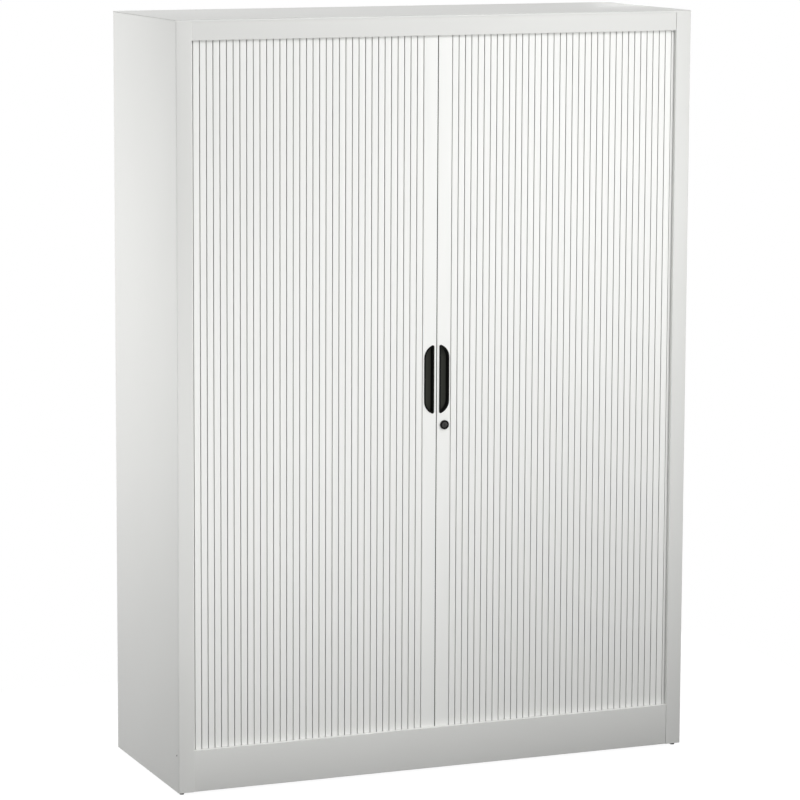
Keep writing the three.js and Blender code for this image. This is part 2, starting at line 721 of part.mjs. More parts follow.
function sideLiner(side) {
  const x0 = Math.min(side * linerInner, side * linerX);
  const x1 = Math.max(side * linerInner, side * linerX);
  const sheet = block(x0, x1, linerFront, rearLinerRear, linerBottom, linerTop);
  const slots = [];
  const steps = SLOTS_PER_COMPARTMENT * (SHELF_COUNT + 1);
  for (let step = 1; step < steps; step++) {
    const middle = floorTop + step * slotPitch - SHELF_HEIGHT - SEAM + clipHookHeight;
    if (middle < linerBottom + SLOT_END_MARGIN || middle > linerTop - SLOT_END_MARGIN) {
      continue;
    }
    for (const y of slotColumns) {
      slots.push(block(x0 - OVERRUN, x1 + OVERRUN, y - SLOT_WIDTH / 2, y + SLOT_WIDTH / 2,
        middle - SLOT_HEIGHT / 2, middle + SLOT_HEIGHT / 2));
    }
  }
  return cut(sheet, ...slots);
}

// The clip's own origin is on the liner's inner face, just under the shelf's edge
function shelfClip(side) {
  const face = -SEAM;
  const tab = face - CLIP_THICKNESS;
  const behind = SHEET + SEAM;
  const hookTop = clipHookHeight + CLIP_THICKNESS / 2;
  const hookBottom = clipHookHeight - CLIP_THICKNESS / 2;
  const outline = [
    [-CLIP_REACH, 0],
    [face, 0],
    [face, hookTop],
    [behind + CLIP_HOOK_REACH, hookTop],
    [behind + CLIP_HOOK_REACH, hookBottom - CLIP_HOOK_DROP],
    [behind, hookBottom - CLIP_HOOK_DROP],
    [behind, hookBottom],
    [face, hookBottom],
    [face, -CLIP_THICKNESS - CLIP_DROP],
    [tab, -CLIP_THICKNESS - CLIP_DROP],
    [tab, -CLIP_THICKNESS],
    [-CLIP_REACH, -CLIP_THICKNESS],
  ].map(([x, z]) => [side * x, z]);
  return lengthwise(outline, -CLIP_WIDTH / 2, CLIP_WIDTH / 2);
}

for (const [name, side] of SIDES) {
  piece(`liner_${name}`, sideLiner(side), bodyPaint);
}
const rearLinerSide = linerInner - SEAM;
piece('rear_liner', block(-rearLinerSide, rearLinerSide, rearLinerFront, rearLinerRear,
  linerBottom, linerTop), bodyPaint);
piece('floor_panel', pan(rearLinerSide, front + FLOOR_FRONT_SETBACK, rearLinerFront - SEAM,
  baseTop + SEAM, floorTop, false), bodyPaint);

for (let number = 1; number <= SHELF_COUNT; number++) {
  piece(`shelf_${number}`, pan(shelfSide, shelfFront, shelfRear, -SHELF_HEIGHT, 0, false), bodyPaint,
    0, 0, shelfTop(number));
  for (const [name, side] of SIDES) {
    ['front', 'rear'].forEach((end, column) => {
      piece(`shelf_clip_${number}_${end}_${name}`, shelfClip(side), zincSteel,
        side * linerInner, slotColumns[column], shelfTop(number) - SHELF_HEIGHT - SEAM);
    });
  }
}

export default cabinet;
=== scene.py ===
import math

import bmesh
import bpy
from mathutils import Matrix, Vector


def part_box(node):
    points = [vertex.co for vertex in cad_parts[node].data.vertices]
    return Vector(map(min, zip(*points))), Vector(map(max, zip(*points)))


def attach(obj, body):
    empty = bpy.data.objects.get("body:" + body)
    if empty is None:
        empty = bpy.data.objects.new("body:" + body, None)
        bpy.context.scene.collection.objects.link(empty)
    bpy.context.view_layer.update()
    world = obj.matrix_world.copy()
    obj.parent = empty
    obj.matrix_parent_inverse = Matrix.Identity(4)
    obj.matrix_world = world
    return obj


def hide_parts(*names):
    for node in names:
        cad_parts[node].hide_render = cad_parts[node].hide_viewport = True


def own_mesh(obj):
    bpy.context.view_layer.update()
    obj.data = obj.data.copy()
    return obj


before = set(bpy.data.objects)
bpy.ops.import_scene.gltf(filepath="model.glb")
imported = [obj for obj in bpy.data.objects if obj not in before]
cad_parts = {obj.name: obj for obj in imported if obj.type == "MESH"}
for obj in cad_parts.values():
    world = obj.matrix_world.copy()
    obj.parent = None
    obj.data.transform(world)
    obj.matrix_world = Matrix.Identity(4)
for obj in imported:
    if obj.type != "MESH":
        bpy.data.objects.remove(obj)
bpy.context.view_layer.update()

# A tambour door cabinet, dressed. Lengths are in metres; the front faces -Y and x = 0 is the line
# where the two curtains meet. The sizes repeat those of the solids, apart from a few small ones
# that follow the photograph more closely: the slats' grooves, the cups' corners, the foot pads,
# how far the lock stands out, the fascia's face and some seams.

MM = 0.001
X, Y, Z = 0, 1, 2
LEFT, RIGHT = -1, 1
SIDES = (("left", LEFT), ("right", RIGHT))
NEAR = 0.05 * MM
FACING = 0.9  # a face looks one way when its normal has more than this of it
SHARP = 1  # an edge is sharp when its faces turn by more than this, in radians

# Body
HALF = 600 * MM
FRONT = -210 * MM
BACK = 210 * MM
HEIGHT = 1660 * MM
BODY_BOTTOM = 6 * MM
SHEET = 1 * MM
SEAM = 0.3 * MM
TIGHT_SEAM = 0.06 * MM
EDGE_SEAM = 0.8 * MM
OPEN_SEAM = 0.7 * MM
CAP_WALL = 1.2 * MM
CAP_LIP = 4 * MM
CAP_REAR_LIP = 20 * MM
SIDE_TOP = HEIGHT - CAP_WALL - EDGE_SEAM
STILE_INNER = 564.5 * MM
STILE_TOP = HEIGHT - CAP_LIP - TIGHT_SEAM
RETURN_END = -200.9 * MM
REAR_FLANGE = 20 * MM
RAIL_FACE = -208.5 * MM
FASCIA_FACE = -208.8 * MM
LIP_REAR = RAIL_FACE + SHEET
LIP_SHOULDER = 2.2 * MM
LIP_BEND = 0.9 * MM
FLANGE_END = -199.5 * MM
RAIL_LEFT = TIGHT_SEAM - STILE_INNER
RAIL_RIGHT = STILE_INNER - OPEN_SEAM
OPENING_BOTTOM = 96 * MM
OPENING_TOP = 1616 * MM
PLINTH_FOOT = 20 * MM
CORNER_BEND = 3 * MM
FOLD = 1.2 * MM
REAR_BEND = 2 * FOLD
CAP_REAR_CUT = HEIGHT - 1.5 * FOLD
SHELVES = (1, 2, 3)
SHELF_BEND = 1.8 * MM

# Curtains
SLAT_FRONT = -198.5 * MM
SLAT_REAR = -190.9 * MM
WEB_FRONT = -193.5 * MM
SLAT_BOTTOM = 84.7 * MM
SLAT_TOP = 1626.6 * MM
SLAT_PITCH = 15 * MM
SLATS_IN_STRIP = 7
GROOVE = 1.9 * MM
SLAT_EDGE = 0.5 * MM
SLAT_CROWN = 0.12 * MM
CROWN_LINES = ((0.3, 0.84), (0.5, 1.0), (0.7, 0.84))  # shares of a slat's width and of its crown
# Painted shade in the slats' grooves: it begins this far behind their faces and is full from the
# next
GROOVE_SHADE_STARTS = 0.8 * MM
GROOVE_SHADE_FULL = 2.4 * MM
STRIPS_IN_FRONT = 5
CURTAIN_START = 33.5 * MM
CURTAIN_ANCHOR = CURTAIN_START + STRIPS_IN_FRONT * SLATS_IN_STRIP * SLAT_PITCH
DOOR_TRAVEL = 516.5 * MM

# Meeting slats
MEETING_INNER = 1 * MM
MEETING_OUTER = 32.7 * MM
MEETING_FRONT = -199 * MM
MEETING_REAR = -183 * MM
MEETING_BOTTOM = 95.7 * MM
MEETING_TOP = 1616.3 * MM
MEETING_EDGE = 1.4 * MM
MEETING_LIP = 0.4 * MM
SEAL_LEFT = -0.97 * MM
SEAL_RIGHT = 0.7 * MM
SEAL_FRONT = MEETING_FRONT + 0.6 * MM
SEAL_REAR = MEETING_FRONT + 3 * MM
SEAL_EDGE = 0.3 * MM

# Handle cups
CUP_FROM_CENTRE = 6 * MM
CUP_WIDTH = 23.6 * MM
CUP_CENTRE_HEIGHT = 870 * MM
CUP_SWEEP = 30 * MM
CUP_SWEEP_HEIGHT = 47.19 * MM
CUP_CORNER = 4.2 * MM
CUP_RIM_WIDTH = 2 * MM
CUP_RIM_WALL = 1 * MM
CUP_WALL = 1.4 * MM
CUP_DEPTH = 12.8 * MM
CUP_SCOOP = 3 * MM
CUP_FLOOR = MEETING_FRONT + CUP_DEPTH - CUP_WALL
# Painted light on the cup's floor: the depth over which it blends in
CUP_FLOOR_PAINTED_LIGHT_BLEND = 1.2 * MM
CUP_LIP = 0.7 * MM
CUP_WINDOW_ROOM = 0.4 * MM
TIP_REACH = 1.24  # how far along each side a bend of radius 1 reaches at the D's tips

# Lock
LOCK_X = 18.2 * MM
LOCK_Z = 769 * MM
LOCK_RADIUS = 10 * MM
LOCK_PROUD = 4.2 * MM
LOCK_BARREL = 8 * MM
LOCK_BORE = 6.55 * MM
LOCK_PLUG = 6.1 * MM
LOCK_FRONT = MEETING_FRONT - SEAM - LOCK_PROUD
NUT_FRONT = MEETING_REAR + SEAM
NUT_WALL = 2 * MM
NUT_REAR = NUT_FRONT + NUT_WALL
NUT_RADIUS = 11 * MM
NUT_EDGE = 0.3 * MM
LOCK_HOLE_ROOM = 0.6 * MM
CASE_FLOOR = 0.5 * MM
CASE_EDGE = 1.3 * MM
BORE_EDGE = 0.4 * MM
CORE_EDGE = 0.5 * MM
KEYWAY = (1.6 * MM, 8 * MM, 7 * MM)  # width, depth, height
TENON_HALF = 3.2 * MM
TENON_LENGTH = 2.8 * MM

# Feet
FOOT_X = 588 * MM
FOOT_Y = 194 * MM
FOOT_PAD = 5.2 * MM
FOOT_NECK = 4.5 * MM
FOOT_STUD = 4 * MM
FOOT_PAD_HEIGHT = 5 * MM
FOOT_NECK_HEIGHT = 8.7 * MM
FOOT_STUD_HEIGHT = 32.3 * MM
FOOT_TOP = FOOT_PAD_HEIGHT + FOOT_NECK_HEIGHT + FOOT_STUD_HEIGHT
FOOT_EDGE = 0.9 * MM

# Strip in a lighter plastic on the plinth's flange, as painted light from above, and the rivets
# along the rear flanges
STRIP_WALL = 0.6 * MM
RIVET_RADIUS = 2.4 * MM
RIVET_PROUD = 0.9 * MM
RIVET_EDGE = 0.7 * RIVET_PROUD
RIVET_X = 590 * MM
RIVET_HEIGHTS = [(110 + 240 * number) * MM for number in range(7)]

# Side plugs
PLUG_RADIUS = 1.7 * MM
PLUG_PROUD = 0.6 * MM
PLUG_LENGTH = 4 * MM
PLUG_EDGE = 0.5 * MM
PLUG_Y = -198 * MM
PLUG_Z = 87 * MM

# Finishes: a pair is the darkest and the lightest shade
PAINT_SHADES = ((0.706, 0.709, 0.690), (0.722, 0.725, 0.706))
SLAT_SHADES = ((0.860, 0.864, 0.844), (0.874, 0.878, 0.858))
# Painted shade deep in the slats' grooves
GROOVE_SHADE_COLOUR = (0.555, 0.555, 0.545, 1)
BLACK_SHADES = ((0.006, 0.006, 0.0055), (0.009, 0.009, 0.0085))
# Painted light on the floor of each cup's hollow
CUP_FLOOR_PAINTED_LIGHT_COLOUR = (0.044, 0.046, 0.039, 1)
TRACK_SHADES = ((0.60, 0.61, 0.60), (0.66, 0.67, 0.66))
ZINC_SHADES = ((0.52, 0.54, 0.56), (0.62, 0.64, 0.66))
LOCK_SHADES = ((0.040, 0.040, 0.039), (0.058, 0.058, 0.056))
PATTERN_SPAN = (0.3, 0.7)  # where most of a noise pattern lies

# Studio
WHITE = (1, 1, 1, 1)
ROOM_LIGHT = 0.395
FLOOR_MARGIN = 600 * MM
FLOOR_WALL = 20 * MM
FLOOR_DROP = 0.01 * MM
FLOOR_SHADE = 0.1
FLOOR_GLOW = 0.95
LAMP_SIDE = 0.9
LAMPS = (  # name, place, what it shines at, power
    ("key_softbox", (0.22, -2.2, 2.8), (0.16, FRONT, 2.3), 28.7),
    ("right_softbox", (0.87, -1.31, 1.15), (0.45, FRONT, 1.06), 4.6),
    ("low_softbox", (-0.52, -1.34, 0.6), (-0.39, FRONT, 0.62), 5.1),
    ("side_softbox", (-1.68, 0.31, 1.03), (-HALF, 0.1, 0.97), 7.8),
    ("rear_softbox", (-2.03, 2.08, 3.18), (-HALF, 0.1, 2.59), 33.9),
    ("top_side_softbox", (-1.69, 1.19, 2.38), (-HALF, 0.1, 1.99), 2.4),
    ("back_softbox", (1.9, 1.9, 1.4), (0.3, BACK, 0.9), 22),
)

# Camera, fitted to the cabinet's corners and handles at the photograph's angle
CAMERA_PLACE = (-2.96286, -7.05677, 2.02411)
CAMERA_YAW = 0.3652
CAMERA_PITCH = -0.1361
PICTURE_SIDE = 800  # pixels, like the next two
FOCAL_LENGTH = 3475.4
PICTURE_MIDDLE = (290.12, 319.0)
SENSOR_WIDTH = 36
FARTHEST_SEEN = 60


def set_camera():
    """The camera looks along its yaw and pitch, and its shift frames the cabinet."""
    clear_selection()
    bpy.ops.object.camera_add(location=CAMERA_PLACE)
    camera = bpy.context.active_object
    level = math.cos(CAMERA_PITCH)
    ahead = Vector((math.sin(CAMERA_YAW) * level, math.cos(CAMERA_YAW) * level,
        math.sin(CAMERA_PITCH)))
    camera.rotation_euler = ahead.to_track_quat("-Z", "Y").to_euler()
    camera.data.sensor_width = SENSOR_WIDTH
    camera.data.lens = FOCAL_LENGTH / PICTURE_SIDE * SENSOR_WIDTH
    camera.data.shift_x = (PICTURE_SIDE / 2 - PICTURE_MIDDLE[0]) / PICTURE_SIDE
    camera.data.shift_y = (PICTURE_MIDDLE[1] - PICTURE_SIDE / 2) / PICTURE_SIDE
    camera.data.clip_end = FARTHEST_SEEN
    bpy.context.scene.camera = camera


# Ways of working that the pieces share


def clear_selection():
    if bpy.context.mode != "OBJECT":
        bpy.ops.object.mode_set(mode="OBJECT")
    bpy.ops.object.select_all(action="DESELECT")


def settle(made, name):
    """Names the new piece and puts its place and size into its mesh."""
    made.name = made.data.name = name
    bpy.ops.object.transform_apply(location=True, rotation=True, scale=True)
    return made


def block(name, low, high):
    clear_selection()
    low, high = Vector(low), Vector(high)
    bpy.ops.mesh.primitive_cube_add(size=1, location=(low + high) / 2)
    made = bpy.context.active_object
    made.scale = high - low
    return settle(made, name)


def round_bar(name, centre, radius, y0, y1, sides):
    """A round bar along Y, or a hexagonal one with six sides."""
    clear_selection()
    bpy.ops.mesh.primitive_cylinder_add(vertices=sides, radius=radius, depth=y1 - y0,
        location=(centre[0], (y0 + y1) / 2, centre[1]), rotation=(math.pi / 2, 0, 0))
    return settle(bpy.context.active_object, name)


def edit(made):
    bpy.context.view_layer.objects.active = made
    if bpy.context.mode != "EDIT_MESH":
        bpy.ops.object.mode_set(mode="EDIT")


def pick(made, kind, wanted):
    """Selects the faces or edges that wanted(middle, item) accepts, and nothing else."""
    edit(made)
    bpy.ops.mesh.select_mode(type=kind)
    bpy.ops.mesh.select_all(action="DESELECT")
    mesh = bmesh.from_edit_mesh(made.data)
    mesh.normal_update()
    for item in {"EDGE": mesh.edges, "FACE": mesh.faces}[kind]:
        corners = [v.co for v in item.verts]
        middle = sum(corners, Vector()) / len(corners)
        if wanted(middle, item):
            item.select_set(True)
    bmesh.update_edit_mesh(made.data)


def close(a, b):
    return abs(a - b) < NEAR


def runs_along(edge, axis):
    way = edge.verts[1].co - edge.verts[0].co
    return way.length > NEAR and abs(way[axis]) > 0.99 * way.length


def is_sharp(edge):
    return edge.calc_face_angle(0) > SHARP


def pull(vector):
    bpy.ops.mesh.extrude_region_move(TRANSFORM_OT_translate={"value": tuple(vector)})


def slice_at(made, point, normal, drop_outer=False):
    """Cuts the whole mesh along a plane; drop_outer removes what lies ahead of the normal and
    closes the cut."""
    edit(made)
    bpy.ops.mesh.select_all(action="SELECT")
    bpy.ops.mesh.bisect(plane_co=point, plane_no=normal, use_fill=drop_outer,
        clear_outer=drop_outer)


def fold_edges(radius, steps):
    """Rounds the picked edges."""
    bpy.ops.mesh.bevel(offset=radius, segments=steps, affect="EDGES", clamp_overlap=True)


def apply(made, kind, **values):
    """Adds a modifier with these settings and applies it."""
    clear_selection()
    made.select_set(True)
    bpy.context.view_layer.objects.active = made
    step = made.modifiers.new(kind.lower(), kind)
    for key, value in values.items():
        setattr(step, key, value)
    bpy.ops.object.modifier_apply(modifier=step.name)


def carve(made, cutter):
    """Cuts one piece with another, which goes."""
    apply(made, "BOOLEAN", operation="DIFFERENCE", solver="EXACT", object=cutter)
    bpy.data.objects.remove(cutter)


def smooth(made, angle=35):
    """Shades the piece smooth, with creases where it turns by more than the angle, in degrees."""
    clear_selection()
    made.select_set(True)
    bpy.context.view_layer.objects.active = made
    bpy.ops.object.shade_smooth_by_angle(angle=math.radians(angle))


def face_outwards(made):
    """Merges points that coincide and turns every face outwards."""
    edit(made)
    bpy.ops.mesh.select_all(action="SELECT")
    bpy.ops.mesh.remove_doubles(threshold=NEAR / 10)
    bpy.ops.mesh.normals_make_consistent(inside=False)
    clear_selection()


def copy_of(made, name, shift=(0, 0, 0), mirror=False):
    """A second piece with its own mesh, moved along, or mirrored to the other side."""
    clear_selection()
    made.select_set(True)
    bpy.context.view_layer.objects.active = made
    bpy.ops.object.duplicate(linked=False)
    twin = bpy.context.active_object
    twin.location = shift
    if mirror:
        twin.scale = (-1, 1, 1)
    settle(twin, name)
    if mirror:
        face_outwards(twin)
    return twin


def join_up(name, *parts):
    clear_selection()
    for part in parts:
        part.select_set(True)
    bpy.context.view_layer.objects.active = parts[0]
    bpy.ops.object.join()
    whole = bpy.context.active_object
    whole.name = whole.data.name = name
    return whole


def hand_over(made, body, material, slot, *nodes, squash=None):
    """Gives a finished piece its material, the nodes that it stands for and its body. slot is not
    used.
    """
    clear_selection()
    made.data.materials.clear()
    made.data.materials.append(material)
    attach(made, body)
    if nodes:
        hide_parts(*nodes)
    if squash:
        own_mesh(made)


def folded_sheet(name, corners, run, outside, folds):
    """A sheet folded along straight lines. corners are the points of its section at one end, run
    leads to the other end, outside is the way that its first leg faces, and folds are the outer
    bends' radii."""
    clear_selection()
    corners = [Vector(c) for c in corners]
    run = Vector(run)
    leg = corners[1] - corners[0]
    bpy.ops.mesh.primitive_plane_add(size=1)
    made = bpy.context.active_object
    across = leg.cross(run).normalized()
    place = Matrix((leg, run, across)).transposed().to_4x4()
    place.translation = corners[0] + leg / 2 + run / 2
    made.matrix_world = place
    settle(made, name)
    for here, there in zip(corners[1:], corners[2:]):
        pick(made, "EDGE", lambda m, e, at=here + run / 2: (m - at).length < NEAR)
        pull(there - here)
    for at, radius in zip(corners[1:], folds):
        pick(made, "EDGE", lambda m, e, at=at + run / 2: (m - at).length < NEAR)
        fold_edges(radius, 4)
    edit(made)
    bpy.ops.mesh.select_all(action="SELECT")
    mesh = bmesh.from_edit_mesh(made.data)
    mesh.normal_update()
    middle = corners[0] + leg / 2 + run / 2
    first = min(mesh.faces, key=lambda f: (f.calc_center_median() - middle).length)
    if first.normal.dot(Vector(outside)) < 0:
        bpy.ops.mesh.flip_normals()
    clear_selection()
    return made


def give_wall(made, wall):
    """Makes a surface a sheet as thick as wall, inwards from its outer face."""
    apply(made, "SOLIDIFY", thickness=wall, offset=-1, use_even_offset=True)


# Finishes


def start_material(name):
    material = bpy.data.materials.new(name)
    material.use_nodes = True
    tree = material.node_tree
    shader = tree.nodes["Principled BSDF"]
    place = tree.nodes.new("ShaderNodeTexCoord").outputs["Object"]
    return material, tree, shader, place


def stretch(tree, place, scale):
    node = tree.nodes.new("ShaderNodeMapping")
    node.inputs["Scale"].default_value = scale
    tree.links.new(place, node.inputs["Vector"])
    return node.outputs["Vector"]


def noise(tree, place, scale, detail=2.0, roughness=0.5):
    node = tree.nodes.new("ShaderNodeTexNoise")
    node.inputs["Scale"].default_value = scale
    node.inputs["Detail"].default_value = detail
    node.inputs["Roughness"].default_value = roughness
    tree.links.new(place, node.inputs["Vector"])
    return node.outputs["Fac"]


def between(tree, source, low, high):
    """Turns a pattern from 0 to 1 into a number from low to high."""
    node = tree.nodes.new("ShaderNodeMapRange")
    node.inputs["From Min"].default_value = PATTERN_SPAN[0]
    node.inputs["From Max"].default_value = PATTERN_SPAN[1]
    node.inputs["To Min"].default_value = low
    node.inputs["To Max"].default_value = high
    tree.links.new(source, node.inputs["Value"])
    return node.outputs["Result"]


def tint(tree, source, shades):
    dark, light = shades
    node = tree.nodes.new("ShaderNodeMix")
    node.data_type = "RGBA"
    node.inputs["A"].default_value = (*dark, 1)
    node.inputs["B"].default_value = (*light, 1)
    tree.links.new(between(tree, source, 0, 1), node.inputs["Factor"])
    return node.outputs["Result"]


def roughen(tree, shader, source, low, high):
    tree.links.new(between(tree, source, low, high), shader.inputs["Roughness"])


def bump(tree, shader, *layers):
    """Adds one bump after another: (pattern, height in metres, strength)."""
    below = None
    for height_map, distance, strength in layers:
        node = tree.nodes.new("ShaderNodeBump")
        node.inputs["Strength"].default_value = strength
        node.inputs["Distance"].default_value = distance
        tree.links.new(height_map, node.inputs["Height"])
        if below:
            tree.links.new(below, node.inputs["Normal"])
        below = node.outputs["Normal"]
    tree.links.new(below, shader.inputs["Normal"])


def powder_coat():
    """Light grey powder coat: satin, with a fine orange peel and a faint drift of shade."""
    material, tree, shader, place = start_material("light_grey_powder_coat")
    drift = noise(tree, place, 3.5, 3)
    peel = noise(tree, place, 620, 2, 0.6)
    grain = noise(tree, place, 2600, 1)
    tree.links.new(tint(tree, drift, PAINT_SHADES), shader.inputs["Base Color"])
    roughen(tree, shader, peel, 0.40, 0.50)
    shader.inputs["Specular IOR Level"].default_value = 0.45
    bump(tree, shader, (peel, 0.05 * MM, 0.35), (grain, 0.01 * MM, 0.2))
    return material


def slat_plastic(name, painted_groove_shade=False):
    """Light grey extruded plastic: satin, with faint lines along the slats. For the front strips
    the groove walls turn a darker grey with depth: painted shade down in the grooves."""
    material, tree, shader, place = start_material(name)
    lines = noise(tree, stretch(tree, place, (900, 900, 3)), 1, 3, 0.6)
    drift = noise(tree, place, 5, 2)
    grain = noise(tree, place, 1800, 1)
    colour = tint(tree, drift, SLAT_SHADES)
    # painted shade: a darker grey deeper in the grooves
    if painted_groove_shade:
        colour = deepen(tree, place, SLAT_FRONT + GROOVE_SHADE_STARTS, SLAT_FRONT + GROOVE_SHADE_FULL, colour,
            GROOVE_SHADE_COLOUR)
    tree.links.new(colour, shader.inputs["Base Color"])
    roughen(tree, shader, lines, 0.34, 0.44)
    shader.inputs["Specular IOR Level"].default_value = 0.45
    bump(tree, shader, (lines, 0.02 * MM, 0.25), (grain, 0.01 * MM, 0.15))
    return material


def deepen(tree, place, start, full, near, far):
    """One colour as far as start on the way back along Y, another from full on."""
    split = tree.nodes.new("ShaderNodeSeparateXYZ")
    tree.links.new(place, split.inputs["Vector"])
    depth = tree.nodes.new("ShaderNodeMapRange")
    depth.inputs["From Min"].default_value = start
    depth.inputs["From Max"].default_value = full
    tree.links.new(split.outputs["Y"], depth.inputs["Value"])
    mix = tree.nodes.new("ShaderNodeMix")
    mix.data_type = "RGBA"
    tree.links.new(near, mix.inputs["A"])
    mix.inputs["B"].default_value = far
    tree.links.new(depth.outputs["Result"], mix.inputs["Factor"])
    return mix.outputs["Result"]


def black_plastic(name, hollow=False):
    """Black moulded plastic with a spark-eroded grain. For a cup, the floor of its hollow is
    painted
    greyer than its walls: painted light on the floor, with the walls in shade.
    """
    material, tree, shader, place = start_material(name)
    grain = noise(tree, place, 1500, 3, 0.6)
    drift = noise(tree, place, 60, 2)
    colour = tint(tree, drift, BLACK_SHADES)
    if hollow:
        # painted light: the cup's floor greyer than its shaded walls
        colour = deepen(tree, place, CUP_FLOOR - CUP_FLOOR_PAINTED_LIGHT_BLEND, CUP_FLOOR, colour,
            CUP_FLOOR_PAINTED_LIGHT_COLOUR)
    tree.links.new(colour, shader.inputs["Base Color"])
    roughen(tree, shader, grain, 0.34, 0.46)
    shader.inputs["Specular IOR Level"].default_value = 0.05
    bump(tree, shader, (grain, 0.04 * MM, 0.5))
    return material


def track_plastic():
    """Grey extruded track with drawing lines."""
    material, tree, shader, place = start_material("grey_track_plastic")
    lines = noise(tree, place, 700, 2, 0.5)
    drift = noise(tree, place, 12, 2)
    tree.links.new(tint(tree, drift, TRACK_SHADES), shader.inputs["Base Color"])
    roughen(tree, shader, lines, 0.45, 0.58)
    bump(tree, shader, (lines, 0.02 * MM, 0.3))
    return material


def zinc_plate():
    """Bright zinc plated steel with a faint spangle and rolling lines."""
    material, tree, shader, place = start_material("zinc_plated_steel")
    cells = tree.nodes.new("ShaderNodeTexVoronoi")
    cells.inputs["Scale"].default_value = 170
    tree.links.new(place, cells.inputs["Vector"])
    lines = noise(tree, stretch(tree, place, (40, 900, 900)), 1, 3, 0.6)
    tree.links.new(tint(tree, cells.outputs["Distance"], ZINC_SHADES), shader.inputs["Base Color"])
    shader.inputs["Metallic"].default_value = 1
    roughen(tree, shader, lines, 0.26, 0.42)
    bump(tree, shader, (lines, 0.01 * MM, 0.3))
    return material


def lock_steel():
    """Dark plated lock plug with fine turning marks."""
    material, tree, shader, place = start_material("dark_lock_plate")
    marks = noise(tree, place, 2200, 2, 0.6)
    tree.links.new(tint(tree, marks, LOCK_SHADES), shader.inputs["Base Color"])
    shader.inputs["Metallic"].default_value = 0.9
    roughen(tree, shader, marks, 0.28, 0.40)
    bump(tree, shader, (marks, 0.01 * MM, 0.3))
    return material


# Floor, backdrop and light


def seen_directly(tree):
    """1 for the camera and for what glossy and clear surfaces show, 0 for all other light."""
    path = tree.nodes.new("ShaderNodeLightPath")
    seen = path.outputs["Is Camera Ray"]
    for name in ("Is Glossy Ray", "Is Transmission Ray"):
        either = tree.nodes.new("ShaderNodeMath")
        either.operation = "MAXIMUM"
        tree.links.new(seen, either.inputs[0])
        tree.links.new(path.outputs[name], either.inputs[1])
        seen = either.outputs[0]
    return seen


def set_studio():
    """A white room for the camera, soft even light for the object, and a pale plate to stand on."""
    scene = bpy.context.scene
    scene.view_settings.view_transform = "Standard"
    world = bpy.data.worlds.new("studio")
    scene.world = world
    world.use_nodes = True
    tree = world.node_tree
    soft = tree.nodes["Background"]
    soft.inputs["Color"].default_value = WHITE
    soft.inputs["Strength"].default_value = ROOM_LIGHT
    white = tree.nodes.new("ShaderNodeBackground")
    white.inputs["Color"].default_value = WHITE
    white.inputs["Strength"].default_value = 1
    mix = tree.nodes.new("ShaderNodeMixShader")
    tree.links.new(seen_directly(tree), mix.inputs[0])
    tree.links.new(soft.outputs[0], mix.inputs[1])
    tree.links.new(white.outputs[0], mix.inputs[2])
    tree.links.new(mix.outputs[0], tree.nodes["World Output"].inputs["Surface"])

    floor = block("studio_floor", (-HALF - FLOOR_MARGIN, FRONT - FLOOR_MARGIN, -FLOOR_WALL),
        (HALF + FLOOR_MARGIN, BACK + FLOOR_MARGIN, -FLOOR_DROP))
    material = bpy.data.materials.new("pale_studio_floor")
    material.use_nodes = True
    tree = material.node_tree
    shader = tree.nodes["Principled BSDF"]
    shader.inputs["Base Color"].default_value = (FLOOR_SHADE, FLOOR_SHADE, FLOOR_SHADE, 1)
    shader.inputs["Roughness"].default_value = 0.9
    shader.inputs["Specular IOR Level"].default_value = 0.1
    glow = tree.nodes.new("ShaderNodeEmission")
    glow.inputs["Color"].default_value = WHITE
    glow.inputs["Strength"].default_value = FLOOR_GLOW
    lit = tree.nodes.new("ShaderNodeAddShader")
    tree.links.new(shader.outputs[0], lit.inputs[0])
    tree.links.new(glow.outputs[0], lit.inputs[1])
    mix = tree.nodes.new("ShaderNodeMixShader")
    tree.links.new(seen_directly(tree), mix.inputs[0])
    tree.links.new(shader.outputs[0], mix.inputs[1])
    tree.links.new(lit.outputs[0], mix.inputs[2])
    tree.links.new(mix.outputs[0], tree.nodes["Material Output"].inputs["Surface"])
    floor.data.materials.append(material)


def lamp(name, place, target, power):
    """A square soft box."""
    clear_selection()
    bpy.ops.object.light_add(type="AREA", location=place)
    made = bpy.context.active_object
    made.name = name
    made.rotation_euler = (Vector(target) - Vector(place)).to_track_quat("-Z", "Y").to_euler()
    made.data.shape = "RECTANGLE"
    made.data.size = made.data.size_y = LAMP_SIDE
    made.data.energy = power


# Body pieces


def side_sheet(name, side):
    """The side panel in one sheet: front stile with its inner return, side and rear flange."""
    x, inner = side * HALF, side * STILE_INNER
    made = folded_sheet(f"side_sheet_{name}",
        [(inner, RETURN_END, BODY_BOTTOM), (inner, FRONT, BODY_BOTTOM), (x, FRONT, BODY_BOTTOM),
            (x, BACK, BODY_BOTTOM), (x - side * REAR_FLANGE, BACK, BODY_BOTTOM)],
        (0, 0, SIDE_TOP - BODY_BOTTOM), (-side, 0, 0), [FOLD, CORNER_BEND, REAR_BEND])
    room = LIP_REAR + SEAM
    slice_at(made, (0, 0, STILE_TOP), (0, 0, 1))
    slice_at(made, (0, room, 0), (0, 1, 0))
    pick(made, "FACE", lambda m, f: m.z > STILE_TOP and m.y < room)
    bpy.ops.mesh.delete(type="FACE")
    clear_selection()
    give_wall(made, SHEET)
    smooth(made)
    return made


